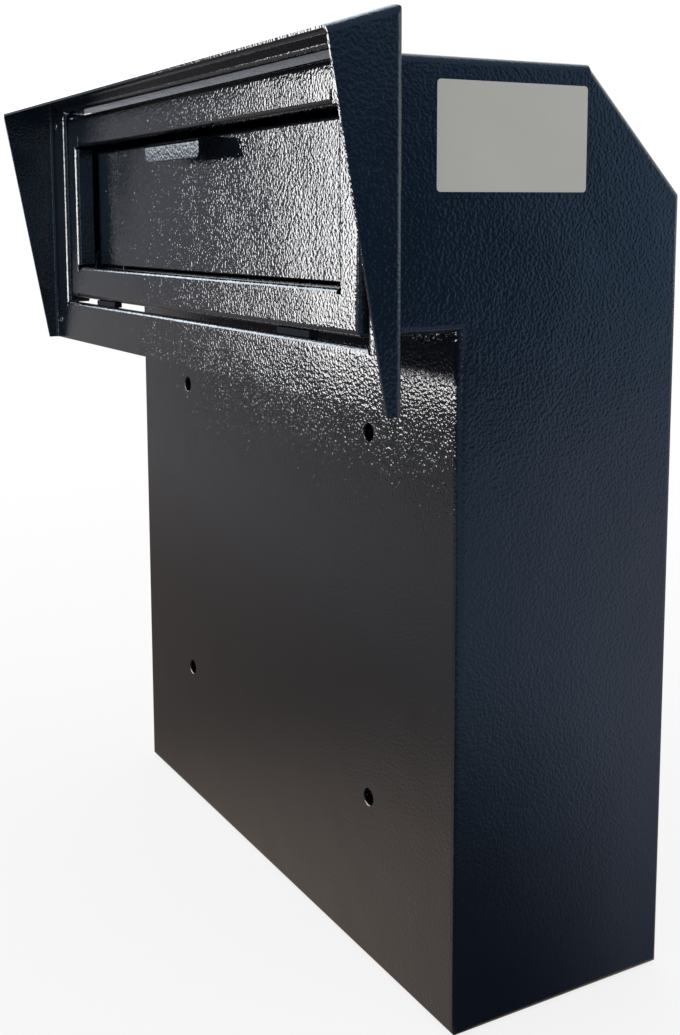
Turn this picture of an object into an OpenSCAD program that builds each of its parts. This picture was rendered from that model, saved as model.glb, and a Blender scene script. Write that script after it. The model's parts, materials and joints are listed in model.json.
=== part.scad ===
// Key drop box for a door: a steel box behind the leaf, a chute that passes
// through a cut-out in the leaf, and a hooded faceplate on the outside.
// Millimetres. The origin is the centre of the four bolt holes in the front
// wall, on its outer face. X is to the right seen from outside, -Y points out
// of the door and Z is up.

/* [Sheet metal] */
// Thickness of every sheet
sheet = 1.5; // [1:0.1:2.5]
// Outside radius of the housing's bends
bend_r = 3.5; // [3:0.1:5]
// Outside radius of the small return bends round openings
lip_r = 2.5; // [2:0.1:3]
// Width of the bent flanges where two panels are welded
seam_w = 12; // [8:1:16]

/* [Box] */
// Width of the box and of the chute
box_w = 330; // [300:1:380]
// Depth of the box behind the door leaf
box_d = 116; // [100:1:160]
// Height of the box
box_h = 405; // [380:1:460]
// Setback of the sloped corner at the top of the back
chamfer = 52; // [30:1:60]
// Height of the chute, down from the roof
chute_h = 106; // [100:1:120]

/* [Door leaf] */
// Thickness of the door leaf that the chute passes through
leaf_t = 44.5; // [30:0.5:60]
// Across the bolt pattern
bolt_dx = 196; // [160:1:240]
// Up the bolt pattern
bolt_dz = 170; // [140:1:190]
// Diameter of the bolt holes
bolt_d = 8; // [6:0.5:11]
// Underside of the box below the centre of the bolt pattern
bolt_rise = 165; // [120:1:200]

/* [Faceplate] */
// How far the faceplate stands out beyond the chute at each side
plate_side = 28; // [24:1:50]
// How far the faceplate hangs below the chute
plate_drop = 26; // [15:1:40]
// How far the faceplate stands above the chute
plate_rise = 13; // [10:1:25]
// Gap between chute and cut-out at each side
cut_side = 5; // [2:0.5:8]
// Gap between chute and cut-out above and below
cut_gap = 3; // [1:0.5:5]
// Length of the cut-out's return lip at the bottom
cut_lip = 4; // [3.5:0.5:8]
// Length of the return lips at the sides
cut_side_lip = 13.5; // [4:0.5:20]
// Length of the return lip at the top
cut_top_lip = 13.5; // [4:0.5:20]
// Width of the reliefs between the lips at the corners
cut_relief = 1.2; // [0.8:0.1:2]
// Reach of hood and wings at the top, from the plate's face
wing_top = 30; // [20:1:45]
// Reach of the wings at the bottom, from the plate's face
wing_bottom = 5.5; // [3:0.5:15]
// Fall of the hood from its back to its front edge
hood_drop = 9.4; // [4:0.1:15]
// Diameter of the screw holes
screw_d = 4.5; // [3.5:0.1:6]
// Screws in from the faceplate's sides
screw_in = 7.5; // [6:0.5:10]
// Up the screw pattern
screw_dz = 117; // [90:1:125]
// Lower screws above the faceplate's bottom edge
screw_rise = 11.7; // [8:0.1:20]
// Length of each locating lug under the chute
lug_w = 28; // [15:1:40]
// Distance of each lug's centre from the middle
lug_x = 110; // [60:1:140]

/* [Mouth] */
// Width of the frame at each side of the mouth
mouth_side = 16; // [13:0.5:24]
// Depth of the frame's flanges
frame_d = 16; // [14:1:20]
// Clear height of the mouth
mouth_h = 69.5; // [60:0.5:75]
// Bottom of the mouth above the chute's underside
mouth_sill = 18.5; // [16:0.5:22]
// Depth of the mouth's return lips from the face
mouth_lip = 10; // [6:0.5:11]
// Width and height of the relief slots in the upper corners
slot_w = 1.4; // [1:0.1:2]
// Height of the relief slots above the mouth
slot_h = 5.5; // [3:0.5:8]
// Outer ends of the relief slots in from the mouth's sides
slot_in = 3.6; // [2:0.1:6]

/* [Flap] */
// Depth of the flap's face behind the front face
flap_set = 12; // [11:0.5:16]
// Gap at each side of the flap
flap_gap = 1.5; // [0.5:0.1:3]
// Gap between flap and mouth at the top and bottom
flap_play = 1.8; // [1.5:0.1:3]
// Depth of the flap's pan
flap_pan = 12; // [10:0.5:14]
// Diameter of the pivot rod
rod_d = 6; // [4:0.5:6]
// Radial clearance of the flap on its rod
rod_clear = 0.08; // [0.02:0.01:0.1]
// Pivot behind the flap's face
rod_set = 5.9; // [5.5:0.1:7]
// Pivot above the flap's bottom edge
rod_rise = 2; // [1:0.5:4]
// Width of the finger pull
pull_w = 65.5; // [50:0.5:90]
// Height of the finger pull's lip
pull_h = 9.5; // [7:0.5:14]
// Centre of the finger pull, from the middle
pull_x = -8.8; // [-20:0.1:20]
// Top of the finger pull below the mouth's top
pull_down = 4.5; // [3:0.5:10]
// Reach of the finger pull in front of the flap's face
pull_reach = 12.4; // [8:0.1:16]
// Wire diameter of the flap's springs
wire_d = 0.9; // [0.6:0.1:1]
// Number of coils in each spring
coils = 8; // [4:1:9]

/* [Rod brackets] */
// Gap between the mouth's side and the bracket
bracket_gap = 1.5; // [1:0.1:3]
// Half length of each bracket, and its height above the rod
bracket_r = 7; // [6:0.5:10]
// Ends of the brackets' feet in from the chute's sides
bracket_in = 4; // [2.5:0.5:8]
// How far the rod stands out of its brackets
rod_end = 3; // [2.5:0.5:4]

/* [Flap stops] */
// Height of the stops above the rod
stop_rise = 44; // [30:1:50]
// Height of each stop
stop_h = 18; // [12:1:30]
// How far each stop reaches behind the flap
stop_lap = 4; // [3:0.5:8]
// Depth of the flange on the side wall
stop_flange = 14; // [10:1:20]
// Thickness of the bumpers
bumper_t = 2; // [1:0.5:4]
// Radius of the bumpers
bumper_r = 3.2; // [2:0.1:4]
// Gap between the closed flap and its bumpers
bumper_gap = 0.3; // [0.1:0.1:1]

/* [Ramp] */
// Slope of the ramp, in degrees below level
ramp_angle = 30; // [20:1:40]
// Reach of the ramp behind the front wall
ramp_y = 75; // [50:1:85]
// Gap at each side of the ramp, with the sheet of the side wall
ramp_side = 15; // [14:1:25]
// Height of the hem under the ramp's edge
ramp_hem = 7; // [5:0.5:12]

/* [Rear door] */
// Width of the border at each side of the door opening
border_x = 18; // [14:1:24]
// Height of the border under the door opening
border_z = 12; // [10:1:20]
// Height of the flat border above the door opening
border_top = 12; // [8:1:20]
// Gap round the door
door_gap = 1.5; // [1:0.1:3]
// Depth of the door's pan
door_pan = 12; // [8:0.5:16]
// Radius of the door's bent edges
door_r = 3; // [2:0.1:5]

/* [Hinges] */
// Length of each hinge
hinge_l = 50; // [40:1:70]
// Distance of each hinge from the door's middle
hinge_z = 110; // [60:1:125]
// Width of one hinge leaf
leaf_w = 15; // [12:0.5:16]
// Thickness of the hinge leaves
hinge_t = 1.2; // [1:0.1:1.5]
// Radius of the knuckles
knuckle_r = 2.75; // [2.5:0.05:3.5]
// Radius of the hinge pins
pin_r = 1.4; // [1:0.1:1.6]
// Radial clearance of the knuckles on their pins
pin_clear = 0.05; // [0.02:0.01:0.1]
// Gap between two knuckles
knuckle_gap = 0.4; // [0.3:0.05:0.8]

/* [Lock] */
// Lock in from the door's side
lock_in = 27.5; // [24:0.5:35]
// Radius of the lock's body
lock_r = 9.4; // [8:0.1:10]
// Radius of the lock's front flange
lock_flange_r = 11.5; // [11:0.1:13]
// Thickness of the lock's front flange
lock_flange_t = 1.6; // [1:0.1:2.5]
// Radius of the key plug
plug_r = 6.5; // [5:0.1:7]
// Radial clearance of the key plug
plug_clear = 0.06; // [0.02:0.01:0.1]
// Reach of the cam from the plug's axis
cam_reach = 36; // [30:1:38]
// Width of the cam
cam_w = 14; // [12:1:18]
// Thickness of the cam
cam_t = 2; // [1.5:0.5:3]
// Clearance between cam and strike, and between door and strike
strike_gap = 0.4; // [0.3:0.1:1]
// Height of the strike
strike_h = 80; // [50:1:120]
// How far the strike reaches behind the door
strike_lap = 4.5; // [3:0.5:8]
// Depth of the strike's flange on the side wall
strike_flange = 13; // [8:1:20]

/* [Hidden] */

far = 600;
half_w = box_w / 2;
floor_z = -bolt_rise;
roof_z = floor_z + box_h;
chute_z = roof_z - chute_h;
// Front faces of chute and faceplate, which stand flush
front_y = -(leaf_t + sheet);
// Where the frame's flanges meet the chute's panels
frame_y = front_y + frame_d;

mouth_z0 = chute_z + mouth_sill;
mouth_z1 = mouth_z0 + mouth_h;
half_mouth = half_w - mouth_side;

flap_y = front_y + flap_set;
flap_x = half_mouth - flap_gap;
flap_z0 = mouth_z0 + flap_play - 0.3;
flap_z1 = mouth_z1 - flap_play;
rod_r = rod_d / 2;
rod_y = flap_y + rod_set;
rod_z = flap_z0 + rod_rise;
flap_back = flap_y + flap_pan;
// The rod's brackets stand outside the flap
bracket_x = half_mouth + bracket_gap;
stop_z = rod_z + stop_rise;
bumper_y = flap_back + bumper_gap;

half_plate = half_w + plate_side;
plate_z0 = chute_z - plate_drop;
plate_z1 = roof_z + plate_rise;
plate_back = front_y + sheet;
cut_x = half_w + cut_side;
cut_z0 = chute_z - cut_gap;
cut_z1 = roof_z + cut_gap;
hood_run = wing_top + sheet;
hood_angle = atan2(hood_drop, hood_run);

door_x = half_w - border_x - door_gap;
door_z0 = floor_z + border_z + door_gap;
door_z1 = roof_z - chamfer - border_top - door_gap;
door_mid = (door_z0 + door_z1) / 2;
door_in = box_d - door_pan;
hinge_x = -(door_x + door_gap / 2);
hinge_y = box_d + knuckle_r + 0.3;
knuckle_l = (hinge_l - 2 * knuckle_gap) / 3;
// Seams of the side panels, just inside the door opening's ends
seam_top = door_z1 + door_gap - 2;
seam_low = door_z0 - door_gap + 2;
strike_y = door_in - 0.3 - sheet;
lock_x = door_x - lock_in;
cam_y = strike_y - strike_gap - cam_t;

steel = "dimgray";

// Corner a-p-b of an outline, rounded to radius r with n chords
function unit(v) = v / norm(v);
function turn(a) = a > 180 ? a - 360 : a < -180 ? a + 360 : a;
function corner(a, p, b, r, n) =
    r <= 0 ? [p] :
    let(
        u = unit(a - p),
        v = unit(b - p),
        h = acos(u * v) / 2,
        m = p + unit(u + v) * r / sin(h),
        s = p + u * r / tan(h) - m,
        e = p + v * r / tan(h) - m,
        a0 = atan2(s[1], s[0]),
        da = turn(atan2(e[1], e[0]) - a0)
    )
    [for (i = [0 : n]) m + r * [cos(a0 + da * i / n), sin(a0 + da * i / n)]];
// Outline with one radius per point
function rounded(pts, radii, n = 8) = [
    for (i = [0 : len(pts) - 1])
        each corner(pts[(i + len(pts) - 1) % len(pts)], pts[i],
            pts[(i + 1) % len(pts)], radii[i], n)
];
function rect(x0, x1, y0, y1) = [[x0, y0], [x1, y0], [x1, y1], [x0, y1]];
function mirrored(pts) = [for (p = pts) [-p[0], p[1]]];
// Section of a return lip: first value away from the opening, second inwards.
// Its root runs 1 mm into the sheet, so that the two are one piece.
function lip(length) = concat(
    [[lip_r + 1, 0]],
    [for (i = [0 : 8]) lip_r * [1 - sin(90 * i / 8), 1 - cos(90 * i / 8)]],
    [[0, length], [sheet, length]],
    [for (i = [0 : 8]) [lip_r, lip_r]
        - (lip_r - sheet) * [cos(90 * i / 8), sin(90 * i / 8)]],
    [[lip_r + 1, sheet]]
);

// A flat outline drawn in (Y, Z), (X, Z) or (X, Y) and extruded across it
module along_x(x0, x1) translate([x0, 0, 0]) rotate([90, 0, 90])
    linear_extrude(x1 - x0) children();
module along_y(y0, y1) translate([0, y1, 0]) rotate([90, 0, 0])
    linear_extrude(y1 - y0) children();
module along_z(z0, z1) translate([0, 0, z0]) linear_extrude(z1 - z0) children();
module block(lo, hi) translate(lo) cube(hi - lo);
module round_rect(x0, x1, y0, y1, r) polygon(rounded(rect(x0, x1, y0, y1), [r, r, r, r]));
module both_sides() {
    children();
    mirror([1, 0, 0]) children();
}
module rod_x(x0, x1, r) translate([x0, 0, 0]) rotate([0, 90, 0])
    cylinder(h = x1 - x0, r = r, $fn = 64);
module rod_yy(y0, y1, r, n = 64) translate([0, y0, 0]) rotate([-90, 0, 0])
    cylinder(h = y1 - y0, r = r, $fn = n);

// The box's volume, drawn in by e
module box_form(e) {
    r = bend_r - e;
    x = half_w - e;
    c = e * (sqrt(2) - 1);
    slope_n = (box_d - chamfer + roof_z) / sqrt(2) - e;
    side = [
        [e, floor_z + e],
        [box_d - e, floor_z + e],
        [box_d - e, roof_z - chamfer - c],
        [box_d - chamfer - c, roof_z - e],
        [e, roof_z - e]
    ];
    intersection() {
        along_x(-x, x) polygon(rounded(side, [r, r, r, r, 0]));
        along_z(floor_z, roof_z) round_rect(-x, x, e, box_d - e, r);
        along_y(0, box_d) round_rect(-x, x, floor_z + e, roof_z - e, r);
        rotate([45, 0, 0]) along_z(-far, far) round_rect(-x, x, -far, slope_n, r);
    }
}

// The chute's volume, drawn in by e, reaching back into the box
module chute_form(e) {
    r = bend_r - e;
    x = half_w - e;
    back = box_d - chamfer - e * (sqrt(2) - 1);
    intersection() {
        along_x(-x, x)
            polygon(rounded(rect(front_y + e, back, chute_z + e, roof_z - e), [r, 0, 0, r]));
        along_z(chute_z, roof_z) round_rect(-x, x, front_y + e, box_d, r);
        along_y(front_y, box_d) round_rect(-x, x, chute_z + e, roof_z - e, r);
    }
}

// The welded housing, before it is divided into its panels
module housing() {
    difference() {
        union() {
            box_form(0);
            chute_form(0);
        }
        box_form(sheet);
        chute_form(sheet);
        block([-door_x - door_gap, door_in, door_z0 - door_gap],
            [door_x + door_gap, box_d + 1, door_z1 + door_gap]);
    }
}
module housing_part() intersection() {
    housing();
    children();
}

// Seam between the side panels and the top panel, in (Y, Z)
function slope_at(y) = box_d - chamfer + roof_z - seam_w * sqrt(2) - y;
module side_region() along_x(0, half_w + 1) polygon([
    [frame_y, chute_z + seam_w],
    [seam_w, chute_z + seam_w],
    [seam_w, seam_low],
    [box_d + 1, seam_low],
    [box_d + 1, seam_top],
    [door_in, seam_top],
    [door_in, slope_at(door_in)],
    [box_d - chamfer + seam_w - seam_w * sqrt(2), roof_z - seam_w],
    [frame_y, roof_z - seam_w]
]);
module top_region() along_x(-half_w - 1, half_w + 1) polygon([
    [frame_y, roof_z - seam_w],
    [box_d - chamfer + seam_w - seam_w * sqrt(2), roof_z - seam_w],
    [door_in, slope_at(door_in)],
    [door_in, seam_top],
    [box_d + 1, seam_top],
    [box_d + 1, roof_z + 1],
    [frame_y, roof_z + 1]
]);

// Front wall with its side and bottom flanges and the bolt holes
module front_panel() color(steel) difference() {
    housing_part() block([-far, -1, floor_z - 1], [far, seam_w, chute_z - seam_w]);
    for (x = [-1, 1], z = [-1, 1])
        translate([x * bolt_dx / 2, 0, z * bolt_dz / 2]) rod_yy(-1, sheet + 1, bolt_d / 2);
}
module side_right() color(steel) housing_part() side_region();
module side_left() color(steel) housing_part() mirror([1, 0, 0]) side_region();
// Roof of chute and box, sloped corner and the border above the rear door
module top_panel() color(steel) housing_part() top_region();
module bottom_panel() color(steel) housing_part()
    block([-far, seam_w, floor_z - 1], [far, box_d + 1, seam_low]);
// Floor of the chute, bent down behind the leaf to meet the front wall
module chute_floor() color(steel) housing_part()
    block([-far, frame_y, chute_z - seam_w], [far, seam_w, chute_z + seam_w]);

// Front of the chute: a bent frame whose mouth has return lips
module chute_frame() color(steel) {
    inner = half_mouth - slot_in;
    difference() {
        housing_part() block([-far, front_y - 1, 0], [far, frame_y, far]);
        block([-half_mouth - lip_r, front_y - 1, mouth_z0 - lip_r],
            [half_mouth + lip_r, plate_back + 0.1, mouth_z1]);
        block([-inner, front_y - 1, mouth_z1 - 1],
            [inner, plate_back + 0.1, mouth_z1 + lip_r]);
        both_sides() block([inner - slot_w, front_y - 1, mouth_z1 - 1],
            [inner, plate_back + 0.1, mouth_z1 + slot_h]);
    }
    along_x(1 - half_mouth, half_mouth - 1)
        polygon([for (p = lip(mouth_lip)) [front_y + p[1], mouth_z0 - p[0]]]);
    along_x(slot_w - inner, inner - slot_w)
        polygon([for (p = lip(mouth_lip)) [front_y + p[1], mouth_z1 + p[0]]]);
    both_sides() along_z(mouth_z0 + 1, mouth_z1 - 1)
        polygon([for (p = lip(mouth_lip)) [half_mouth + p[0], front_y + p[1]]]);
}

// Sloped plate that carries keys down and keeps wires and hands out
module anti_fishing_ramp() color(steel) {
    top = chute_z + 2 * sheet;
    y0 = rod_y + 4.35;
    fall = (ramp_y - 3) * tan(ramp_angle);
    e = sheet / cos(ramp_angle);
    along_x(ramp_side - half_w, half_w - ramp_side) polygon(rounded([
        [y0, top - sheet],
        [3 - sheet * tan(ramp_angle / 2), top - sheet],
        [ramp_y - sheet, top - fall - e + sheet * tan(ramp_angle)],
        [ramp_y - sheet, top - fall - ramp_hem],
        [ramp_y, top - fall - ramp_hem],
        [ramp_y, top - fall],
        [3, top],
        [y0, top]
    ], [0, 2, 1, 0, 0, 2.5, 3.5, 0], 6));
}

// Angle on the side wall that stops the rear door and takes the lock's cam
module strike_angle() color(steel) {
    x0 = half_w - sheet;
    x1 = door_x - strike_lap;
    y0 = strike_y;
    y1 = strike_y + sheet;
    along_z(door_mid - strike_h / 2, door_mid + strike_h / 2) polygon(rounded([
        [x0, y0 - strike_flange],
        [x0, y1],
        [x1, y1],
        [x1, y0],
        [x0 - sheet, y0],
        [x0 - sheet, y0 - strike_flange]
    ], [0, 2 * sheet, 0, 0, sheet, 0], 6));
}

// Faceplate volume drawn in by e; the inner one is open at front and bottom
module plate_form(e) {
    r = bend_r - e;
    x = half_plate - e;
    inner = e > 0;
    back = plate_back - e;
    drop = e / cos(hood_angle);
    top = plate_z1 - drop - e * tan(hood_angle);
    front = inner ? -far : front_y - wing_top;
    foot = inner ? -far : front_y - wing_bottom;
    low = inner ? plate_z0 - far : plate_z0;
    nose = top - (back - front) * tan(hood_angle);
    n_top = plate_z1 * cos(hood_angle) - plate_back * sin(hood_angle) - e;
    intersection() {
        along_x(-x, x)
            polygon(rounded([[back, low], [back, top], [front, nose], [foot, low]], [0, r, 0, 0]));
        along_z(-2 * far, far)
            polygon(rounded([[-x, -far], [x, -far], [x, back], [-x, back]], [0, 0, r, r]));
        rotate([90 + hood_angle, 0, 0]) along_z(-2 * far, 2 * far)
            polygon(rounded([[-x, -2 * far], [x, -2 * far], [x, n_top], [-x, n_top]], [0, 0, r, r]));
    }
}
module plate_shell() difference() {
    plate_form(0);
    plate_form(sheet);
}
// Everything above the seam where the hood is welded on
module hood_region() {
    n_seam = plate_z1 * cos(hood_angle) - plate_back * sin(hood_angle) - bend_r;
    rotate([90 + hood_angle, 0, 0]) translate([-far, n_seam, -far]) cube(2 * far);
}
module faceplate() color(steel) {
    difference() {
        plate_shell();
        hood_region();
        block([-cut_x - lip_r, front_y - 1, cut_z0 - lip_r],
            [cut_x + lip_r, plate_back + 1, cut_z1 + lip_r]);
        for (x = [-1, 1], z = [0, screw_dz])
            translate([x * (half_plate - screw_in), 0, plate_z0 + screw_rise + z])
                rod_yy(front_y - 1, plate_back + 1, screw_d / 2);
    }
    cut_lips();
}
// Return lips round the cut-out, mitred at its corners with a relief between
module cut_lips() {
    e = lip_r + 2;
    x = cut_x - cut_relief / sqrt(2);
    z0 = cut_z0 + cut_relief / sqrt(2);
    z1 = cut_z1 - cut_relief / sqrt(2);
    intersection() {
        along_x(-cut_x - e, cut_x + e)
            polygon([for (p = lip(cut_lip)) [front_y + p[1], cut_z0 - p[0]]]);
        along_y(front_y - 1, frame_y)
            polygon([[-x - e, cut_z0 - e], [x + e, cut_z0 - e], [x - 1, cut_z0 + 1], [1 - x, cut_z0 + 1]]);
    }
    intersection() {
        along_x(-cut_x - e, cut_x + e)
            polygon([for (p = lip(cut_top_lip)) [front_y + p[1], cut_z1 + p[0]]]);
        along_y(front_y - 1, frame_y)
            polygon([[1 - x, cut_z1 - 1], [x - 1, cut_z1 - 1], [x + e, cut_z1 + e], [-x - e, cut_z1 + e]]);
    }
    both_sides() intersection() {
        along_z(cut_z0 - e, cut_z1 + e)
            polygon([for (p = lip(cut_side_lip)) [cut_x + p[0], front_y + p[1]]]);
        along_y(front_y - 1, frame_y)
            polygon([[cut_x - 1, z0 + 1], [cut_x + e, z0 - e], [cut_x + e, z1 + e], [cut_x - 1, z1 - 1]]);
    }
}
module rain_hood() color(steel) intersection() {
    plate_shell();
    hood_region();
}

// Lugs that carry the chute on the lip of the faceplate's cut-out
module locating_lugs() color(steel) both_sides()
    block([lug_x - lug_w / 2, front_y + 1.5, chute_z - cut_gap],
        [lug_x + lug_w / 2, front_y + 6, chute_z]);

// Angles behind the closed flap, welded to the side walls
module flap_stops() color(steel) both_sides() {
    y0 = bumper_y + bumper_t;
    x0 = flap_x - stop_lap;
    x1 = half_w - sheet;
    along_z(stop_z - stop_h / 2, stop_z + stop_h / 2) polygon(rounded([
        [x0, y0],
        [x1, y0],
        [x1, y0 + stop_flange],
        [x1 - sheet, y0 + stop_flange],
        [x1 - sheet, y0 + sheet],
        [x0, y0 + sheet]
    ], [0, 2 * sheet, 0, 0, sheet, 0], 6));
}
module flap_bumpers() color("black") both_sides()
    translate([flap_x - stop_lap + bumper_r + 0.1, 0, stop_z])
        rod_yy(bumper_y, bumper_y + bumper_t, bumper_r);

module flap_rod() color("silver") translate([0, rod_y, rod_z])
    rod_x(-bracket_x - sheet - rod_end, bracket_x + sheet + rod_end, rod_r);
// Angles on the chute's floor that hold the rod's ends
module rod_brackets() color(steel) both_sides() difference() {
    z0 = chute_z + sheet;
    y0 = rod_y - bracket_r;
    y1 = rod_y + bracket_r;
    ear = bracket_r - 1;
    union() {
        along_x(bracket_x, bracket_x + sheet)
            polygon(rounded(rect(y0, y1, z0, rod_z + bracket_r), [0, 0, ear, ear]));
        block([bracket_x + sheet / 2, y0, z0], [half_w - bracket_in, y1, z0 + sheet]);
    }
    translate([0, rod_y, rod_z]) rod_x(bracket_x - 1, bracket_x + sheet + 1, rod_r + 0.02);
}
module rod_clips() color("silver") both_sides() translate([0, rod_y, rod_z]) difference() {
    rod_x(bracket_x + sheet, bracket_x + sheet + 1, rod_r + 2.2);
    rod_x(bracket_x, bracket_x + sheet + 2, rod_r + 0.01);
    translate([bracket_x, -1.6, -rod_r - 3]) cube([5, 3.2, 3]);
}

// One torsion spring's centre line, from the pivot: a leg down to the ramp's
// edge, coils round the rod, and an arm that turns into a hole in the flap's ear
coil_r = rod_r + wire_d / 2 + 0.15;
coil_pitch = wire_d + 0.45;
coil_steps = 18;
coil_x = flap_x - 4.6 - coils * coil_pitch;
arm_x = coil_x + coils * coil_pitch;
arm_z = 11;
arm_bend = 1.2;
leg_z = chute_z + sheet + wire_d - rod_z;
spring_path = concat(
    [[coil_x, coil_r, leg_z], [coil_x, coil_r, leg_z / 2]],
    [for (i = [0 : coil_steps * coils]) let(a = 360 * i / coil_steps)
        [coil_x + coil_pitch * i / coil_steps, coil_r * cos(a), coil_r * sin(a)]],
    [for (a = [0 : 22.5 : 90])
        [arm_x + arm_bend * (1 - cos(a)), coil_r, arm_z - arm_bend * (1 - sin(a))]],
    [[flap_x + 0.6, coil_r, arm_z]]
);
spring_gap = min([for (i = [0 : len(spring_path) - 1], j = [i + coil_steps / 2 : 1 : len(spring_path) - 1])
    norm(spring_path[i] - spring_path[j])]) - wire_d;
// A round tube swept along a path, its rings turned as little as they can be
function across(n, t) = unit(n - (n * t) * t);
module tube(path, r, sides = 8) {
    last = len(path) - 1;
    t = [for (i = [0 : last]) unit(path[min(i + 1, last)] - path[max(i - 1, 0)])];
    n = [for (i = 0, v = across([1, 0, 0], t[0]); i <= last;
        i = i + 1, v = i > last ? v : across(v, t[i])) v];
    points = [for (i = [0 : last], j = [0 : sides - 1]) let(a = 360 * j / sides)
        path[i] + r * (cos(a) * n[i] + sin(a) * cross(t[i], n[i]))];
    walls = [for (i = [0 : last - 1], j = [0 : sides - 1]) let(
        p = i * sides + j,
        q = i * sides + (j + 1) % sides
    ) each [[p, p + sides, q], [q, p + sides, q + sides]]];
    near = [for (j = [0 : sides - 1]) j];
    end = [for (j = [0 : sides - 1]) (last + 1) * sides - 1 - j];
    polyhedron(points = points, faces = concat(walls, [near], [end]), convexity = 10);
}
module flap_springs() color("silver") {
    echo(str("least gap between a spring's coils: ", spring_gap, " mm"));
    both_sides() translate([0, rod_y, rod_z]) tube(spring_path, wire_d / 2);
}

// Shallow pan with a rounded top; its ears carry the rod
module flap_form(e) intersection() {
    r = bend_r - 0.5 - e;
    back = e > 0 ? far : flap_back;
    low = e > 0 ? flap_z0 - far : flap_z0 - rod_set;
    along_x(e - flap_x, flap_x - e)
        polygon(rounded(rect(flap_y + e, back, low, flap_z1 - e), [0, 0, 0, r]));
    along_z(-far, far) polygon(rounded(rect(e - flap_x, flap_x - e, flap_y + e, back), [r, r, 0, 0]));
    along_y(-far, far) polygon(rounded(rect(e - flap_x, flap_x - e, low, flap_z1 - e), [0, 0, r, r]));
}
module deposit_flap() color(steel) difference() {
    flap_form(0);
    flap_form(sheet);
    // Square bottom edge between the ears, rounded ears round the rod
    block([sheet - flap_x, flap_y - 1, flap_z0 - far], [flap_x - sheet, far, flap_z0]);
    both_sides() difference() {
        block([flap_x - sheet - 0.01, flap_y - 1, flap_z0 - 20], [flap_x + 1, flap_back + 1, rod_z]);
        translate([0, rod_y, rod_z]) rod_x(flap_x - sheet - 1, flap_x + 2, rod_set);
    }
    translate([0, rod_y, rod_z]) rod_x(-flap_x - 1, flap_x + 1, rod_r + rod_clear);
    both_sides() translate([0, rod_y + coil_r, rod_z + arm_z])
        rod_x(flap_x - sheet - 1, flap_x + 1, wire_d / 2 + 0.25);
}
// Bent finger pull on the flap's face
module flap_pull() color(steel) {
    z1 = mouth_z1 - pull_down;
    y1 = flap_y - pull_reach;
    x0 = pull_x - pull_w / 2;
    x1 = pull_x + pull_w / 2;
    intersection() {
        along_x(x0, x1) polygon(rounded([
            [flap_y, z1],
            [y1, z1],
            [y1, z1 - pull_h],
            [y1 + sheet, z1 - pull_h],
            [y1 + sheet, z1 - sheet],
            [flap_y, z1 - sheet]
        ], [0, 2.3, 0.5, 0.5, 0.8, 0]));
        along_y(-far, far) polygon(rounded(rect(x0, x1, z1 - pull_h, z1 + 1), [3.5, 3.5, 0, 0]));
    }
}

// Rear door: a pan set flush in the back of the box
module door_form(e) intersection() {
    r = door_r - e;
    x = door_x - e;
    z0 = door_z0 + e;
    z1 = door_z1 - e;
    y0 = e > 0 ? door_in - 1 : door_in;
    y1 = box_d - e;
    along_x(-x, x) polygon(rounded(rect(y0, y1, z0, z1), [0, r, r, 0]));
    along_z(z0, z1) polygon(rounded(rect(-x, x, y0, y1), [0, 0, r, r]));
    along_y(y0, y1) round_rect(-x, x, z0, z1, r);
}
module rear_door() color(steel) difference() {
    door_form(0);
    door_form(sheet);
    translate([lock_x, 0, door_mid]) rod_yy(door_in, box_d + 1, lock_r + 0.1);
}

// Hinges outside the back wall: leaves with three knuckles each
module at_hinges() for (s = [-1, 1]) translate([hinge_x, hinge_y, door_mid + s * hinge_z - hinge_l / 2])
    children();
module knuckle(i) translate([0, 0, i * (knuckle_l + knuckle_gap)]) difference() {
    cylinder(h = knuckle_l, r = knuckle_r, $fn = 48);
    translate([0, 0, -1]) cylinder(h = knuckle_l + 2, r = pin_r + pin_clear, $fn = 48);
}
module hinge_leaf(keep) {
    low = -knuckle_r - 0.3;
    clear = knuckle_r + 0.3;
    difference() {
        block([0.95, low, 0], [leaf_w + 1, low + hinge_t, hinge_l]);
        for (i = [0 : 2])
            if (i % 2 != keep)
                translate([0, low - 1, i * (knuckle_l + knuckle_gap) - knuckle_gap])
                    cube([clear, hinge_t + 2, knuckle_l + 2 * knuckle_gap]);
    }
    for (i = [0 : 2])
        if (i % 2 == keep)
            knuckle(i);
}
module hinge_leaves_body() color("silver") at_hinges() mirror([1, 0, 0]) hinge_leaf(0);
module hinge_leaves_door() color("silver") at_hinges() hinge_leaf(1);
module hinge_pins() color("silver") at_hinges() {
    translate([0, 0, -0.8]) cylinder(h = hinge_l + 1.6, r = pin_r, $fn = 48);
    translate([0, 0, -0.8]) cylinder(h = 0.8, r = 2.1, $fn = 48);
    translate([0, 0, hinge_l]) cylinder(h = 0.8, r = 2.1, $fn = 48);
}

// Cam lock in the rear door, drawn with the cam down, which is unlocked
module at_lock() translate([lock_x, 0, door_mid]) children();
module lock_housing() color("silver") at_lock() difference() {
    union() {
        rod_yy(box_d, box_d + lock_flange_t, lock_flange_r);
        rod_yy(cam_y + cam_t + 1.6, box_d + 0.5, lock_r);
    }
    rod_yy(cam_y, box_d + 5, plug_r + plug_clear);
}
module lock_nut() color("silver") at_lock() difference() {
    rod_yy(box_d - sheet - 3, box_d - sheet, 13, 6);
    rod_yy(box_d - 9, box_d, lock_r + 0.03);
}
module lock_plug() color("goldenrod") at_lock() difference() {
    union() {
        rod_yy(cam_y + cam_t, box_d + lock_flange_t, plug_r);
        block([-3, cam_y + 0.1, -3], [3, cam_y + cam_t + 1, 3]);
    }
    block([-0.8, box_d - 6, -3.6], [0.8, box_d + 5, 3.6]);
    rod_yy(cam_y - 1, cam_y + 7, 1.6);
}
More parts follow.
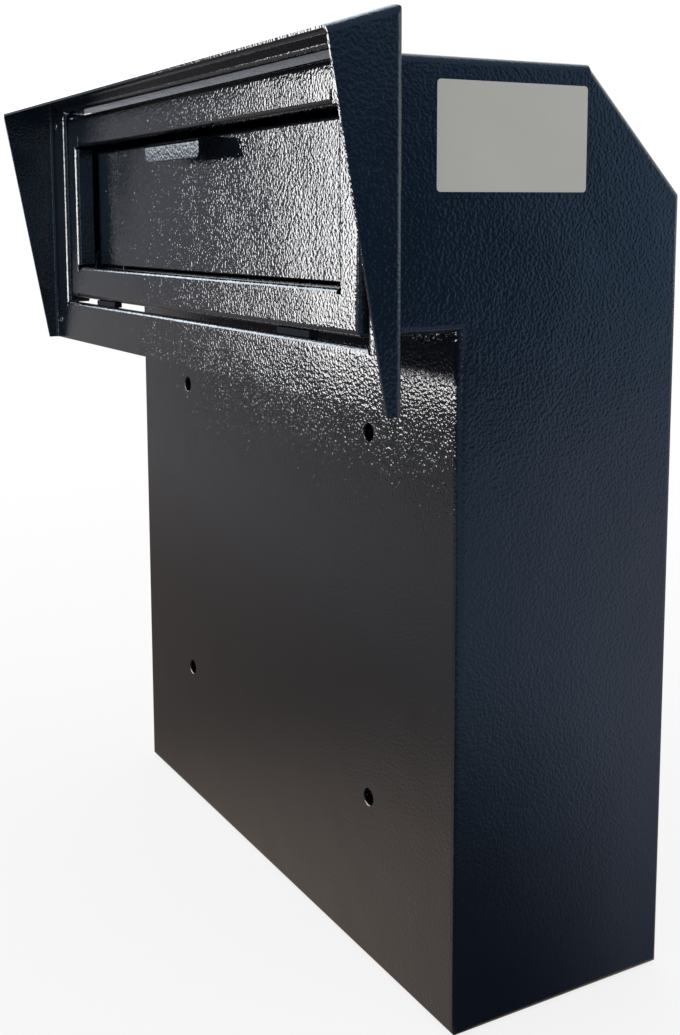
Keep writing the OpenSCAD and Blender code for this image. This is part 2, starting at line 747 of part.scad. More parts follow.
module lock_cam() color("silver") at_lock() difference() {
    along_y(cam_y, cam_y + cam_t)
        polygon(rounded(rect(-cam_w / 2, cam_w / 2, -cam_reach, 8.5), [3, 3, 5, 5]));
    block([-3.05, cam_y - 1, -3.05], [3.05, cam_y + cam_t + 1, 3.05]);
}
module lock_cam_screw() color("silver") at_lock() difference() {
    union() {
        rod_yy(cam_y, cam_y + 6, 1.57);
        rod_yy(cam_y - 2, cam_y, 5);
    }
    block([-far, cam_y - 3, -0.5], [far, cam_y - 1.2, 0.5]);
}

front_panel();
side_left();
side_right();
top_panel();
bottom_panel();
chute_floor();
chute_frame();
anti_fishing_ramp();
strike_angle();
faceplate();
rain_hood();
locating_lugs();
flap_stops();
flap_bumpers();
flap_rod();
rod_brackets();
rod_clips();
flap_springs();
hinge_leaves_body();
hinge_pins();
deposit_flap();
flap_pull();
rear_door();
hinge_leaves_door();
lock_housing();
lock_nut();
lock_plug();
lock_cam();
lock_cam_screw();
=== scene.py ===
"""Finishes, label and studio of a key drop box that hangs behind a door leaf."""

import json
import math

import bmesh
import bpy
from bpy.props import FloatProperty, FloatVectorProperty, PointerProperty
from mathutils import Matrix, Vector

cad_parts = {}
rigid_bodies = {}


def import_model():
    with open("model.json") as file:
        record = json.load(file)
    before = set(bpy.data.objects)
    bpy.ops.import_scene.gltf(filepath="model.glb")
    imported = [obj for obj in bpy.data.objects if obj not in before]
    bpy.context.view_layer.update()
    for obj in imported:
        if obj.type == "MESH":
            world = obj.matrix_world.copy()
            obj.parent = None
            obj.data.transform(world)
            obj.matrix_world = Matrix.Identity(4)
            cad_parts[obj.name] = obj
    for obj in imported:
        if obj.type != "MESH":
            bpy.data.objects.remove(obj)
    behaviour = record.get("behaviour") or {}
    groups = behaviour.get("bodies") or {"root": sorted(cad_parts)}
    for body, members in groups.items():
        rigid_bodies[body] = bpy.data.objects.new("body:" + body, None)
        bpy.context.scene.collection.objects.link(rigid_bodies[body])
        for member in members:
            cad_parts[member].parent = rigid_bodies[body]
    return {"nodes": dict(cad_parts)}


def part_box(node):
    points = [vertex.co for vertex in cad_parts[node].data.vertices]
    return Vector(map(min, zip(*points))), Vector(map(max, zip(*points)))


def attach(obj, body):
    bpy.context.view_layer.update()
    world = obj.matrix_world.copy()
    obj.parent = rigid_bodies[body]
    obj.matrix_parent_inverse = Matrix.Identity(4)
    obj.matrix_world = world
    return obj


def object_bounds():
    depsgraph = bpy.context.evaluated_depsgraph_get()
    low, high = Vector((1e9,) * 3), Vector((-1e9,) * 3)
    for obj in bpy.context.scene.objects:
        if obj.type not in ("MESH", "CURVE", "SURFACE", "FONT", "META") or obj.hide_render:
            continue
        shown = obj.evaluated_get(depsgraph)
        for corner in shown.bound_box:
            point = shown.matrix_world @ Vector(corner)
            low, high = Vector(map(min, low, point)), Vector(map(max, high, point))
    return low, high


bl_info = {
    "name": "Key Drop Box",
    "version": (1, 0, 0),
    "blender": (4, 5, 0),
    "location": "View3D > Sidebar > Key Box",
    "description": "Finishes, label and studio of a key drop box",
    "category": "Object",
}

for old in list(bpy.data.objects):
    bpy.data.objects.remove(old)
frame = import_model()
CAD_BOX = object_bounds()

MM = 0.001

PAINTED = (
    "front_panel", "side_left", "side_right", "top_panel", "bottom_panel", "chute_frame", "anti_fishing_ramp",
    "strike_angle", "faceplate", "rain_hood", "flap_stops", "rod_brackets", "deposit_flap", "rear_door",
)
PLATED = ("flap_rod", "hinge_leaves_body", "hinge_leaves_door", "hinge_pins", "lock_nut", "lock_cam", "lock_cam_screw")
SPRUNG = ("flap_springs", "rod_clips")

SHEET = 1.5 * MM
WELD_REACH = 0.002 * MM
SMOOTH_ANGLE = math.radians(33)
CUT_ANGLE = math.radians(40)
ROUNDING_STEPS = 2
NOISE_PER_PEBBLE = 1.6

# Each sheet's seams with the sheets it is welded to bound the box that holds its cut edges. A row names the corner of
# that box, the axis, the corner of the sheet that it is measured from, and the distance in millimetres.
SEAMS = {
    "front_panel": (
        ("start", "x", "low", 10), ("start", "y", "low", -1), ("start", "z", "low", 10),
        ("stop", "x", "high", -10), ("stop", "y", "low", 2), ("stop", "z", "high", -5),
    ),
    "chute_frame": (("stop", "y", "high", -0.1),),
    "faceplate": (("stop", "z", "high", -8.5),),
    "rain_hood": (("stop", "y", "low", 1),),
    "side_left": (("start", "x", "high", -1), ("start", "y", "high", -2)),
    "side_right": (("stop", "x", "low", 1), ("start", "y", "high", -2)),
    "top_panel": (("start", "y", "high", -2), ("start", "z", "low", 1), ("stop", "z", "low", 3)),
    "bottom_panel": (("start", "y", "high", -2), ("start", "z", "high", -3), ("stop", "z", "high", -1)),
}

# What the camera sees round the object
WHITE = (1.0, 1.0, 1.0)
PALE_FLOOR = (0.85, 0.85, 0.85)
PALE_ROOM = (0.9, 0.9, 0.9)

# What the reflections show of the floor to the left of the box: painted emission that stands for the floor's light and
# shade, with painted shade under the window
WARM_FLOOR = (0.66, 0.54, 0.46)
GREY_FLOOR = (0.43, 0.41, 0.42)
BROWN_FLOOR = (0.24, 0.20, 0.17)
PAINTED_SHADE_UNDER_WINDOW = (0.05, 0.05, 0.06)

# What the reflections show of the floor to the right of the box: painted emission, with painted shade at the foot of
# the side
PAINTED_SHADE_AT_WALL = (0.0, 0.005, 0.02)
BLUE_FLOOR = (0.24, 0.38, 0.58)
PALE_BLUE_FLOOR = (0.55, 0.64, 0.88)
FAR_BLUE_FLOOR = (0.32, 0.54, 0.86)

# What the reflections show of the room
NAVY = (0.0, 0.07, 0.18)
LOW_BLUE = (0.34, 0.58, 0.92)
HIGH_BLUE = (0.25, 0.42, 0.68)
SLATE = (0.31, 0.35, 0.41)
GLOWING_BLUE = (0.9, 1.4, 2.0)
GREY_WALL = (0.38, 0.39, 0.44)
HAZE = (1.2, 1.3, 1.35)
BRIGHT_WALL = (6.0, 6.6, 7.2)


class BoxCoat(bpy.types.PropertyGroup):
    """The textured powder coat on the sheet metal."""

    colour: FloatVectorProperty(
        name="Colour", description="Colour of the coat", subtype="COLOR", size=3, default=(0.0045, 0.0062, 0.0098)
    )
    pebble: FloatProperty(
        name="Pebble", description="Distance between two pebbles of the texture", unit="LENGTH", default=0.0023
    )
    height: FloatProperty(
        name="Height", description="Height of the texture's noise", unit="LENGTH", default=0.00017
    )
    swell: FloatProperty(name="Swell", description="Height of the coat's slow waves", unit="LENGTH", default=0.0004)
    roughness: FloatProperty(name="Roughness", description="Roughness of the coat between the pebbles", default=0.035)
    unevenness: FloatProperty(
        name="Unevenness", description="Roughness that the coat gains in its duller patches", default=0.03
    )
    thin_matt: FloatProperty(
        name="Thin coat", description="Roughness that the thinner coat inside the door leaf gains", default=0.1
    )
    edge: FloatProperty(
        name="Edge", description="Radius that the coat gives to a cut edge", unit="LENGTH", default=0.00035
    )
    pull_lean: FloatProperty(
        name="Pull's lean", description="Angle by which the finger pull's lip leans out", subtype="ANGLE",
        default=math.radians(11),
    )


class BoxLabel(bpy.types.PropertyGroup):
    """The blank label on the right side."""

    width: FloatProperty(name="Width", description="Length of the label along the side", unit="LENGTH", default=0.074)
    height: FloatProperty(name="Height", description="Height of the label", unit="LENGTH", default=0.0424)
    corner: FloatProperty(name="Corner", description="Radius of the corners", unit="LENGTH", default=0.0016)
    thickness: FloatProperty(name="Thickness", description="Thickness of the film", unit="LENGTH", default=0.00012)
    behind_front: FloatProperty(
        name="Behind front", description="From the front panel to the label's middle", unit="LENGTH", default=0.0256
    )
    below_roof: FloatProperty(
        name="Below roof", description="From the roof down to the label's middle", unit="LENGTH", default=0.0302
    )
    colour: FloatVectorProperty(
        name="Colour", description="Colour of the film", subtype="COLOR", size=3, default=(0.455, 0.455, 0.415)
    )


class BoxStudio(bpy.types.PropertyGroup):
    """Floor, lamps and camera."""

    floor_radius: FloatProperty(name="Floor", description="Radius of the floor", unit="LENGTH", default=6.0)
    window_place: FloatVectorProperty(
        name="Window", description="Middle of the window, seen from above", subtype="TRANSLATION", size=2,
        default=(-1.155, -1.815),
    )
    window_aim: FloatVectorProperty(
        name="Window's aim", description="Point that the window faces, seen from above", subtype="TRANSLATION",
        size=2, default=(0.13, -0.03),
    )
    window_width: FloatProperty(name="Window width", description="Width of the window", unit="LENGTH", default=1.90)
    window_low: FloatProperty(
        name="Window sill", description="Height of the window's lower edge", unit="LENGTH", default=-0.16
    )
    window_high: FloatProperty(
        name="Window head", description="Height of the window's upper edge", unit="LENGTH", default=1.3
    )
    window_light: FloatProperty(name="Window light", description="Brightness of the window", default=13.0)
    key_place: FloatVectorProperty(
        name="Key lamp", description="Place of the soft key lamp", subtype="TRANSLATION", size=3,
        default=(-0.5, -0.9, 1.5),
    )
    key_width: FloatProperty(name="Key width", description="Width of the key lamp", unit="LENGTH", default=1.0)
    key_light: FloatProperty(name="Key light", description="Brightness of the key lamp", default=1.0)
    camera_place: FloatVectorProperty(
        name="Camera", description="Place of the camera", subtype="TRANSLATION", size=3,
        default=(0.565227, -0.293647, 0.178036),
    )
    camera_turn: FloatVectorProperty(
        name="Turn", description="Yaw, pitch and roll of the camera", subtype="EULER", size=3,
        default=(1.08252, -0.12696, -0.00938),
    )
    focal_length: FloatProperty(
        name="Focal length", description="Focal length in millimetres on a 36 mm sensor", default=43.788
    )
    shift: FloatVectorProperty(
        name="Shift", description="Shift of the camera's view", size=2, default=(0.06068, -0.13094)
    )


class Value:
    """One output of a node, with arithmetic that adds Math nodes."""

    def __init__(self, nodes, socket):
        self.nodes = nodes
        self.socket = socket

    def out(self, name):
        return Value(self.nodes, self.socket.node.outputs[name])

    def __add__(self, other):
        return self.nodes.math("ADD", self, other)

    __radd__ = __add__

    def __sub__(self, other):
        return self.nodes.math("SUBTRACT", self, other)

    def __rsub__(self, other):
        return self.nodes.math("SUBTRACT", other, self)

    def __mul__(self, other):
        return self.nodes.math("MULTIPLY", self, other)

    __rmul__ = __mul__

    def __truediv__(self, other):
        return self.nodes.math("DIVIDE", self, other)

    def __rtruediv__(self, other):
        return self.nodes.math("DIVIDE", other, self)

    def __abs__(self):
        return self.nodes.math("ABSOLUTE", self)

    def limited(self):
        """The value, kept between 0 and 1."""
        return self.nodes.math("ADD", self, 0.0, clamp=True)


class Nodes:
    """Adds nodes to the tree of one material, world or geometry group."""

    # Numbers of the sockets that hold colours in a Mix node, and what a Compare node compares
    MIX_FACTOR, MIX_FIRST, MIX_SECOND, MIX_COLOUR = 0, 6, 7, 2
    COMPARED = {"FLOAT": (0, 1), "VECTOR": (4, 5)}

    def __init__(self, tree):
        self.tree = tree
        tree.nodes.clear()

    def add(self, kind, settings=None, sockets=None, output=0):
        """Adds a node of a kind, with its settings and the values or links of its sockets, and gives one output."""
        node = self.tree.nodes.new(kind)
        for key, value in (settings or {}).items():
            setattr(node, key, value)
        for key, value in (sockets or {}).items():
            socket = node.inputs[key]
            if isinstance(value, Value):
                self.tree.links.new(value.socket, socket)
            elif socket.type == "RGBA":
                socket.default_value = (*value, 1.0)
            else:
                socket.default_value = value
        return Value(self, node.outputs[output]) if node.outputs else None

    def math(self, operation, *operands, clamp=False):
        return self.add("ShaderNodeMath", {"operation": operation, "use_clamp": clamp}, dict(enumerate(operands)))

    def place(self):
        return self.add("ShaderNodeTexCoord").out("Object")

    def apart(self, vector):
        parts = self.add("ShaderNodeSeparateXYZ", {}, {"Vector": vector})
        return [parts.out(axis) for axis in "XYZ"]

    def noise(self, place, scale, detail=2.0, roughness=0.5):
        sockets = {"Vector": place, "Scale": scale, "Detail": detail, "Roughness": roughness}
        return self.add("ShaderNodeTexNoise", {}, sockets)

    def ease(self, value, low, high, at_low=0.0, at_high=1.0):
        """Goes smoothly from at_low to at_high while the value goes from low to high."""
        sockets = dict(enumerate((value, low, high, at_low, at_high)))
        return self.add("ShaderNodeMapRange", {"interpolation_type": "SMOOTHSTEP"}, sockets)

    def mix(self, factor, first, second):
        """Colour that goes from the first to the second as the factor goes from 0 to 1."""
        sockets = {self.MIX_FACTOR: factor, self.MIX_FIRST: first, self.MIX_SECOND: second}
        return self.add("ShaderNodeMix", {"data_type": "RGBA"}, sockets, self.MIX_COLOUR)

    def compare(self, operation, first, second, data_type="FLOAT"):
        settings = {"data_type": data_type, "operation": operation, "mode": "ELEMENT"}
        return self.add("FunctionNodeCompare", settings, dict(zip(self.COMPARED[data_type], (first, second))))

    def bump(self, height):
        return self.add("ShaderNodeBump", {}, {"Height": height, "Distance": 1.0, "Strength": 1.0})

    def surface(self, shader):
        self.add("ShaderNodeOutputMaterial", {}, {"Surface": shader})

    def finish(self, sockets):
        self.surface(self.add("ShaderNodeBsdfPrincipled", {}, sockets))


def new_material(name):
    material = bpy.data.materials.new(name)
    material.use_nodes = True
    return material, Nodes(material.node_tree)


def shade(colour, share):
    return [share * part for part in colour]


def powder_coat(name="black_powder_coat", matt=0.0, lean=0.0):
    """The coat; matt adds roughness away from the chute's sides, and lean tips the shading of an upright face."""
    coat = bpy.context.scene.box_coat
    material, nodes = new_material(name)
    place = nodes.place()
    across, _, up = nodes.apart(place)
    pebbles = nodes.noise(place, scale=NOISE_PER_PEBBLE / coat.pebble, detail=1.0, roughness=0.45)
    waves = nodes.noise(place, scale=26.0, detail=1.0)
    height = pebbles * coat.height + waves * coat.swell
    if lean:
        height = height - up * math.tan(lean)
    patches = nodes.noise(place, scale=34.0, detail=3.0)
    roughness = coat.roughness + coat.unevenness * patches
    if matt:
        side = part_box("chute_floor")[1].x
        inside = nodes.ease(abs(across), side - 5 * MM, side - 1 * MM, at_low=1.0, at_high=0.0)
        roughness = roughness + matt * inside
    nodes.finish({
        "Base Color": nodes.mix(patches, coat.colour, shade(coat.colour, 1.5)),
        "Roughness": roughness,
        "IOR": 1.5,
        "Normal": nodes.bump(height),
    })
    return material


def masked_coat():
    """The thin matt coat on surfaces that were masked because they carry the faceplate."""
    material, nodes = new_material("masked_coat")
    grain = nodes.noise(nodes.place(), scale=900.0, detail=3.0)
    nodes.finish({
        "Base Color": nodes.mix(grain, (0.006, 0.008, 0.011), (0.012, 0.014, 0.018)),
        "Roughness": 0.62 + 0.2 * grain,
        "Specular IOR Level": 0.02,
        "Normal": nodes.bump(grain * (0.03 * MM)),
    })
    return material


def plated_metal(name, colour, roughness, grain):
    """A bare or plated metal with duller, darker patches; grain is the height of its fine grain."""
    material, nodes = new_material(name)
    place = nodes.place()
    patches = nodes.ease(nodes.noise(place, scale=150.0, detail=4.0, roughness=0.65), 0.3, 0.7)
    fine = nodes.noise(place, scale=1400.0)
    nodes.finish({
        "Base Color": nodes.mix(patches, colour, shade(colour, 0.72)),
        "Metallic": 1.0,
        "Roughness": roughness + 0.14 * patches,
        "Normal": nodes.bump(fine * grain),
    })
    return material


def black_rubber():
    material, nodes = new_material("black_rubber")
    grain = nodes.noise(nodes.place(), scale=1800.0)
    nodes.finish({
        "Base Color": nodes.mix(grain, (0.010, 0.010, 0.011), (0.022, 0.022, 0.023)),
        "Roughness": 0.62 + 0.2 * grain,
        "Normal": nodes.bump(grain * (0.04 * MM)),
    })
    return material


def label_film():
    label = bpy.context.scene.box_label
    material, nodes = new_material("label_film")
    place = nodes.place()
    cloud = nodes.noise(place, scale=22.0, detail=3.0)
    fibre = nodes.noise(place, scale=2600.0)
    nodes.finish({
        "Base Color": nodes.mix(cloud, label.colour, shade(label.colour, 0.9)),
        "Roughness": 0.38 + 0.12 * fibre,
        "Normal": nodes.bump(fibre * (0.012 * MM) + cloud * (0.2 * MM)),
    })
    return material


def smooth_bends():
    """Geometry group that shades bends smooth, and marks the cut edges between two corners of a box for the bevel."""
    group = bpy.data.node_groups.new("smooth_bends", "GeometryNodeTree")
    group.interface.new_socket("Geometry", in_out="INPUT", socket_type="NodeSocketGeometry")
    for corner in ("Low", "High"):
        group.interface.new_socket(corner, in_out="INPUT", socket_type="NodeSocketVector")
    group.interface.new_socket("Geometry", in_out="OUTPUT", socket_type="NodeSocketGeometry")
    nodes = Nodes(group)
    shape = nodes.add("NodeGroupInput")
    faces = nodes.add(
        "GeometryNodeSetShadeSmooth", {"domain": "FACE"}, {"Geometry": shape, "Shade Smooth": True}
    )
    bend = nodes.add("GeometryNodeInputMeshEdgeAngle")
    edges = nodes.add(
        "GeometryNodeSetShadeSmooth", {"domain": "EDGE"},
        {"Geometry": faces, "Selection": nodes.compare("GREATER_THAN", bend, SMOOTH_ANGLE), "Shade Smooth": False},
    )
    place = nodes.add("GeometryNodeInputPosition")
    above = nodes.compare("GREATER_THAN", place, shape.out("Low"), "VECTOR")
    below = nodes.compare("LESS_THAN", place, shape.out("High"), "VECTOR")
    marked = nodes.add(
        "GeometryNodeStoreNamedAttribute", {"data_type": "FLOAT", "domain": "EDGE"},
        {
            "Geometry": edges,
            "Name": "bevel_weight_edge",
            "Value": nodes.compare("GREATER_THAN", bend, CUT_ANGLE) * above * below,
        },
    )
    nodes.add("NodeGroupOutput", {}, {0: marked})
    return group


def cut_edges(name):
    """Two corners of the box that holds a sheet's cut edges, and none of its seams."""
    low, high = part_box(name)
    beyond = Vector((1, 1, 1))
    corners = {"start": low - beyond, "stop": high + beyond}
    for corner, axis, origin, distance in SEAMS.get(name, ()):
        setattr(corners[corner], axis, getattr({"low": low, "high": high}[origin], axis) + distance * MM)
    return tuple(corners["start"]), tuple(corners["stop"])


def dress(names, material, edge=0.0):
    """Gives frame nodes a finish and smooth bends, and rounds their cut edges by edge."""
    group = bpy.data.node_groups.get("smooth_bends") or smooth_bends()
    low_input, high_input = [item.identifier for item in group.interface.items_tree if item.name in ("Low", "High")]
    for name in names:
        node = frame["nodes"][name]
        node.data.materials.clear()
        node.data.materials.append(material)
        node.modifiers.new("weld", "WELD").merge_threshold = WELD_REACH
        smooth = node.modifiers.new("smooth", "NODES")
        smooth.node_group = group
        smooth[low_input], smooth[high_input] = cut_edges(name)
        if edge:
            bevel = node.modifiers.new("edges", "BEVEL")
            bevel.width = edge
            bevel.segments = ROUNDING_STEPS
            bevel.limit_method = "WEIGHT"
            bevel.loop_slide = False
        node.modifiers.new("normals", "WEIGHTED_NORMAL").keep_sharp = True


def add_piece(name, shape, material, body):
    """Turns a bmesh into a piece that rides on a body, and frees it."""
    mesh = bpy.data.meshes.new(name)
    shape.to_mesh(mesh)
    shape.free()
    piece = bpy.data.objects.new(name, mesh)
    bpy.context.collection.objects.link(piece)
    mesh.materials.append(material)
    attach(piece, body)


def rounded_outline(width, height, corner, steps=6):
    """Points of a rectangle with round corners about the origin, anticlockwise."""
    points = []
    for sx, sy, start in ((1, 1, 0), (-1, 1, 90), (-1, -1, 180), (1, -1, 270)):
        for step in range(steps + 1):
            angle = math.radians(start + 90 * step / steps)
            points.append((
                sx * (width / 2 - corner) + corner * math.cos(angle),
                sy * (height / 2 - corner) + corner * math.sin(angle),
            ))
    return points


class KEYBOX_OT_sheet_metal(bpy.types.Operator):
    """Coat the bent sheet metal"""

    bl_idname = "keybox.sheet_metal"
    bl_label = "Sheet Metal"

    def execute(self, context):
        settings = context.scene.box_coat
        coat = powder_coat()
        dress(PAINTED, coat, settings.edge)
        dress(["flap_pull"], powder_coat("pull_coat", lean=settings.pull_lean), 1.5 * settings.edge)
        dress(["chute_floor"], powder_coat("thin_powder_coat", matt=settings.thin_matt))
        dress(["locating_lugs"], masked_coat(), settings.edge)
        self.lengthen_fold(coat)
        return {"FINISHED"}

    def lengthen_fold(self, coat):
        """Tongue that carries the fold over the cut-out further back, so that no gap is seen above the chute."""
        frame_low, frame_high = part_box("chute_frame")
        fold_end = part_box("faceplate")[1].y
        short, depth, lap, rise, clearance, rounding = 3 * MM, 6 * MM, 1 * MM, 3 * MM, 0.01 * MM, 0.3 * MM
        shape = bmesh.new()
        bmesh.ops.create_cube(shape, size=1)
        size = Vector((frame_high.x - frame_low.x - 2 * short, depth, SHEET))
        for corner in shape.verts:
            corner.co = Vector(corner.co[i] * size[i] for i in range(3))
        middle = (0, fold_end - lap + depth / 2, frame_high.z + rise + clearance + SHEET / 2)
        bmesh.ops.translate(shape, verts=shape.verts, vec=middle)
        bmesh.ops.bevel(
            shape, geom=list(shape.edges), offset=rounding, offset_type="OFFSET", segments=ROUNDING_STEPS,
            profile=0.5, affect="EDGES",
        )
        add_piece("fold_tongue", shape, coat, "housing")


class KEYBOX_OT_fittings(bpy.types.Operator):
    """Finish rod, hinges, springs, bumpers and lock"""

    bl_idname = "keybox.fittings"
    bl_label = "Fittings"

    def execute(self, context):
        zinc = plated_metal("zinc_plate", (0.60, 0.61, 0.60), roughness=0.28, grain=0.02 * MM)
        spring_steel = plated_metal("spring_steel", (0.36, 0.36, 0.37), roughness=0.24, grain=0.01 * MM)
        chrome = plated_metal("lock_chrome", (0.78, 0.78, 0.79), roughness=0.12, grain=0.006 * MM)
        brass = plated_metal("lock_brass", (0.74, 0.62, 0.36), roughness=0.2, grain=0.008 * MM)
        dress(PLATED, zinc, 0.15 * MM)
        dress(SPRUNG, spring_steel)
        dress(["flap_bumpers"], black_rubber(), 0.2 * MM)
        dress(["lock_housing"], chrome, 0.25 * MM)
        dress(["lock_plug"], brass, 0.15 * MM)
        return {"FINISHED"}


class KEYBOX_OT_label(bpy.types.Operator):
    """Stick the blank label on the right side"""

    bl_idname = "keybox.label"
    bl_label = "Label"

    def execute(self, context):
        label = context.scene.box_label
        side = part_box("side_right")[1].x
        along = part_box("front_panel")[0].y + label.behind_front
        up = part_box("top_panel")[1].z - label.below_roof
        shape = bmesh.new()
        ring = [
            shape.verts.new((side, along + u, up + v))
            for u, v in rounded_outline(label.width, label.height, label.corner)
        ]
        grown = bmesh.ops.extrude_face_region(shape, geom=[shape.faces.new(ring)])
        raised = [item for item in grown["geom"] if isinstance(item, bmesh.types.BMVert)]
        bmesh.ops.translate(shape, verts=raised, vec=(label.thickness, 0, 0))
        bmesh.ops.recalc_face_normals(shape, faces=shape.faces)
        add_piece("blank_label", shape, label_film(), "housing")
        return {"FINISHED"}


class KEYBOX_OT_studio(bpy.types.Operator):
    """Set floor, sky, lamps and camera"""

    bl_idname = "keybox.studio"
    bl_label = "Studio"

    def execute(self, context):
        studio = context.scene.box_studio
        self.lay_floor(studio)
        self.paint_sky(context.scene)
        self.hang_lamps(studio)
        self.aim_camera(context.scene, studio)
        context.scene.view_settings.view_transform = "Standard"
        return {"FINISHED"}

    def lay_floor(self, studio):
        mesh = bpy.data.meshes.new("floor")
        shape = bmesh.new()
        clearance = 0.2 * MM
        bmesh.ops.create_circle(shape, cap_ends=True, segments=96, radius=studio.floor_radius)
        bmesh.ops.translate(shape, verts=shape.verts, vec=(0, 0, CAD_BOX[0].z - clearance))
        shape.to_mesh(mesh)
        shape.free()
        floor = bpy.data.objects.new("floor", mesh)
        bpy.context.collection.objects.link(floor)
        mesh.materials.append(self.floor_with_painted_reflections())

    def floor_with_painted_reflections(self):
        """Pale floor that fades to white before the camera, and shows reflections the coat's surroundings as painted
        emission colours, with painted shade and a painted glow.
        """
        material, nodes = new_material("floor_with_painted_reflections")
        rays = nodes.add("ShaderNodeLightPath")
        mirrored = nodes.math("MAXIMUM", rays.out("Is Glossy Ray"), rays.out("Is Transmission Ray"))
        place = nodes.place()
        across, along, _ = nodes.apart(place)
        foot = (0.15, 0.0, CAD_BOX[0].z)
        from_box = nodes.add("ShaderNodeVectorMath", {"operation": "DISTANCE"}, {0: place, 1: foot}, "Value")
        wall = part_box("side_right")[1].x
        beside = nodes.ease(across, wall - 2 * MM, wall + 4 * MM)
        left = self.painted_left_floor_reflection(nodes, across, along, from_box)
        right = self.painted_right_floor_reflection(nodes, across, along, across - wall)
        # Emission that only reflections see: the painted reflection of the floor, left and right of the box
        shown = nodes.add("ShaderNodeEmission", {}, {"Color": nodes.mix(beside, left, right)})
        plain = nodes.add("ShaderNodeBsdfDiffuse", {}, {"Color": PALE_FLOOR})
        white = nodes.add("ShaderNodeEmission", {}, {"Color": WHITE})
        faded = rays.out("Is Camera Ray") * nodes.ease(from_box, 0.3, 1.4, at_low=0.8, at_high=1.0)
        lit = nodes.add("ShaderNodeMixShader", {}, {0: faded, 1: plain, 2: white})
        nodes.surface(nodes.add("ShaderNodeMixShader", {}, {0: mirrored, 1: lit, 2: shown}))
        return material

    def painted_left_floor_reflection(self, nodes, across, along, from_box):
        """Painted reflection of the floor that the front mirrors, warm at the box's foot and with painted shade under
        the window; distances in metres.
        """
        behind = nodes.ease(along, -0.45, -0.1)
        before_window = nodes.ease(along, -1.25, -0.6)
        this_side_of_window = nodes.ease(across, -2.4, -1.7)
        off_foot = nodes.ease(from_box, 0.08, 0.40)
        far = nodes.mix(behind, GREY_FLOOR, BROWN_FLOOR)
        # Painted shade on the floor in front of the window, which only reflections show
        dark = nodes.mix(this_side_of_window, far, PAINTED_SHADE_UNDER_WINDOW)
        return nodes.mix(off_foot, WARM_FLOOR, nodes.mix(before_window, dark, far))

    def painted_right_floor_reflection(self, nodes, across, along, ahead):
        """Painted reflection of the floor that the right side mirrors, with painted shade at its foot, brighter
        towards the back and with a painted blue glow far off; distances in metres.
        """
        back = ((along - 0.75 * ahead) / (0.1 + 0.23 * ahead)).limited()
        off_wall = nodes.ease(across + 0.2 * back, 0.2, 0.62)
        far_off = nodes.ease(across, 0.8, 2.4)
        # Painted glow: a blue patch of floor far to the right that only reflections see
        glow = nodes.ease(0.0 - along - 0.15 * ahead, 0.05, 0.3) * nodes.ease(across, 3.4, 4.6)
        # Painted shade at the foot of the right side, fading out away from the wall
        near = nodes.mix(off_wall, PAINTED_SHADE_AT_WALL, nodes.mix(back, BLUE_FLOOR, PALE_BLUE_FLOOR))
        distant = nodes.mix(back, NAVY, FAR_BLUE_FLOOR)
        return nodes.mix(glow, nodes.mix(far_off, near, distant), GLOWING_BLUE)

    def paint_sky(self, scene):
        """White for the camera, a pale even room for light, and the coat's surroundings for reflections."""
        world = bpy.data.worlds.new("sky")
        scene.world = world
        world.use_nodes = True
        nodes = Nodes(world.node_tree)
        rays = nodes.add("ShaderNodeLightPath")
        across, along, rise = nodes.apart(nodes.add("ShaderNodeTexCoord").out("Generated"))
        room = nodes.mix(
            nodes.ease(across, -0.35, 0.25), self.left_room(nodes, along, rise), self.right_room(nodes, along, rise)
        )
        plain = nodes.mix(rays.out("Is Glossy Ray"), PALE_ROOM, room)
        shown = nodes.mix(rays.out("Is Camera Ray"), plain, WHITE)
        nodes.add("ShaderNodeOutputWorld", {}, {"Surface": nodes.add("ShaderNodeBackground", {}, {"Color": shown})})

    def left_room(self, nodes, along, rise):
        """Grey wall that brightens upwards, more so towards the front; a direction's parts run from -1 to 1."""
        behind = nodes.ease(along, 0.1, 0.6)
        high = nodes.ease(rise, 0.16, 0.32)
        return nodes.mix(high, GREY_WALL, nodes.mix(behind, BRIGHT_WALL, HAZE))

    def right_room(self, nodes, along, rise):
        """Blue room with haze at the back, slate towards the front and a low glow before the slate."""
        behind = nodes.ease(along, 0.58, 0.72)
        far_behind = nodes.ease(along, 0.76, 0.95)
        off_front = nodes.ease(along, -0.15, 0.05)
        high = nodes.ease(rise, 0.02, 0.3)
        low = nodes.ease(rise, 0.08, 0.2, at_low=1.0, at_high=0.0)
        glow = low * nodes.ease(along, -0.55, -0.42) * nodes.ease(along, -0.28, -0.16, at_low=1.0, at_high=0.0)
        blue = nodes.mix(high, nodes.mix(behind, NAVY, LOW_BLUE), HIGH_BLUE)
        blue = nodes.mix(off_front, SLATE, nodes.mix(far_behind, blue, HAZE))
        return nodes.mix(glow, blue, GLOWING_BLUE)

    def hang_lamps(self, studio):
        middle = (studio.window_low + studio.window_high) / 2
        tall = studio.window_high - studio.window_low
        window = self.lamp(
            "window", (*studio.window_place, middle), (*studio.window_aim, middle), studio.window_width, tall,
            studio.window_light,
        )
        window.visible_diffuse = False
        key = self.lamp("key", studio.key_place, (0, 0, 0), studio.key_width, studio.key_width, studio.key_light)
        key.visible_glossy = False

    def lamp(self, name, place, target, width, height, brightness):
        """An area lamp that faces a target; brightness is the radiance of its face."""
        light = bpy.data.lights.new(name, "AREA")
        light.shape = "RECTANGLE"
        light.size = width
        light.size_y = height
        light.energy = brightness * math.pi * width * height
        lamp = bpy.data.objects.new(name, light)
        bpy.context.collection.objects.link(lamp)
        lamp.location = place
        lamp.rotation_euler = (Vector(target) - Vector(place)).to_track_quat("-Z", "Y").to_euler()
        lamp.visible_camera = False
        return lamp

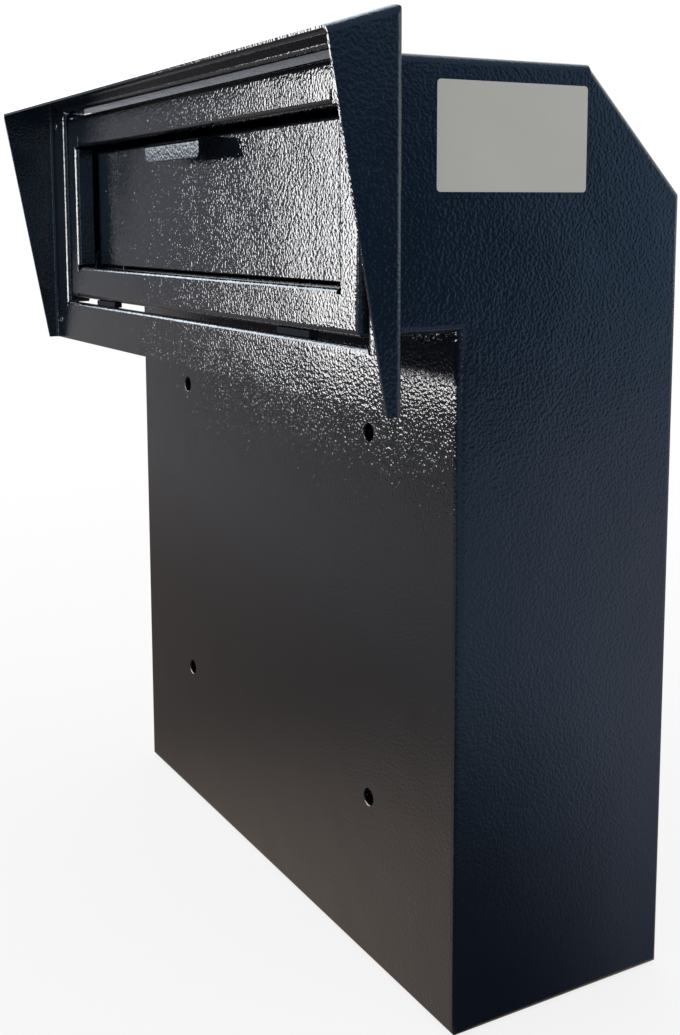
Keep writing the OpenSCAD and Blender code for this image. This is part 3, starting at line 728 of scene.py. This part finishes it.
    def aim_camera(self, scene, studio):
        yaw, pitch, roll = studio.camera_turn
        ahead = Vector((-math.sin(yaw) * math.cos(pitch), math.cos(yaw) * math.cos(pitch), math.sin(pitch)))
        level = Vector((math.cos(yaw), math.sin(yaw), 0))
        upright = level.cross(ahead)
        right = math.cos(roll) * level + math.sin(roll) * upright
        up = math.cos(roll) * upright - math.sin(roll) * level
        lens = bpy.data.cameras.new("camera")
        lens.sensor_fit = "AUTO"
        lens.sensor_width = 36.0
        lens.lens = studio.focal_length
        lens.shift_x, lens.shift_y = studio.shift
        lens.clip_start = 0.01
        camera = bpy.data.objects.new("camera", lens)
        bpy.context.collection.objects.link(camera)
        turn = Matrix((right, up, -ahead)).transposed()
        camera.matrix_world = Matrix.Translation(studio.camera_place) @ turn.to_4x4()
        scene.camera = camera


class KEYBOX_PT_panel(bpy.types.Panel):
    """Lists the steps and sizes of the key drop box"""

    bl_idname = "KEYBOX_PT_panel"
    bl_label = "Key Drop Box"
    bl_space_type = "VIEW_3D"
    bl_region_type = "UI"
    bl_category = "Key Box"

    def draw(self, context):
        for step in STEPS:
            self.layout.operator(step.bl_idname)
        for name in GROUPS:
            group = getattr(context.scene, name)
            box = self.layout.box()
            for key in group.bl_rna.properties.keys():
                if key not in ("name", "rna_type"):
                    box.prop(group, key)


STEPS = (KEYBOX_OT_sheet_metal, KEYBOX_OT_fittings, KEYBOX_OT_label, KEYBOX_OT_studio)
GROUPS = {"box_coat": BoxCoat, "box_label": BoxLabel, "box_studio": BoxStudio}


def register():
    for name, group in GROUPS.items():
        bpy.utils.register_class(group)
        setattr(bpy.types.Scene, name, PointerProperty(type=group))
    for step in (*STEPS, KEYBOX_PT_panel):
        bpy.utils.register_class(step)


def unregister():
    for step in reversed((*STEPS, KEYBOX_PT_panel)):
        bpy.utils.unregister_class(step)
    for name, group in GROUPS.items():
        delattr(bpy.types.Scene, name)
        bpy.utils.unregister_class(group)


def main():
    register()
    for step in STEPS:
        category, name = step.bl_idname.split(".")
        getattr(getattr(bpy.ops, category), name)()
    bpy.context.view_layer.update()


if __name__ == "__main__":
    main()
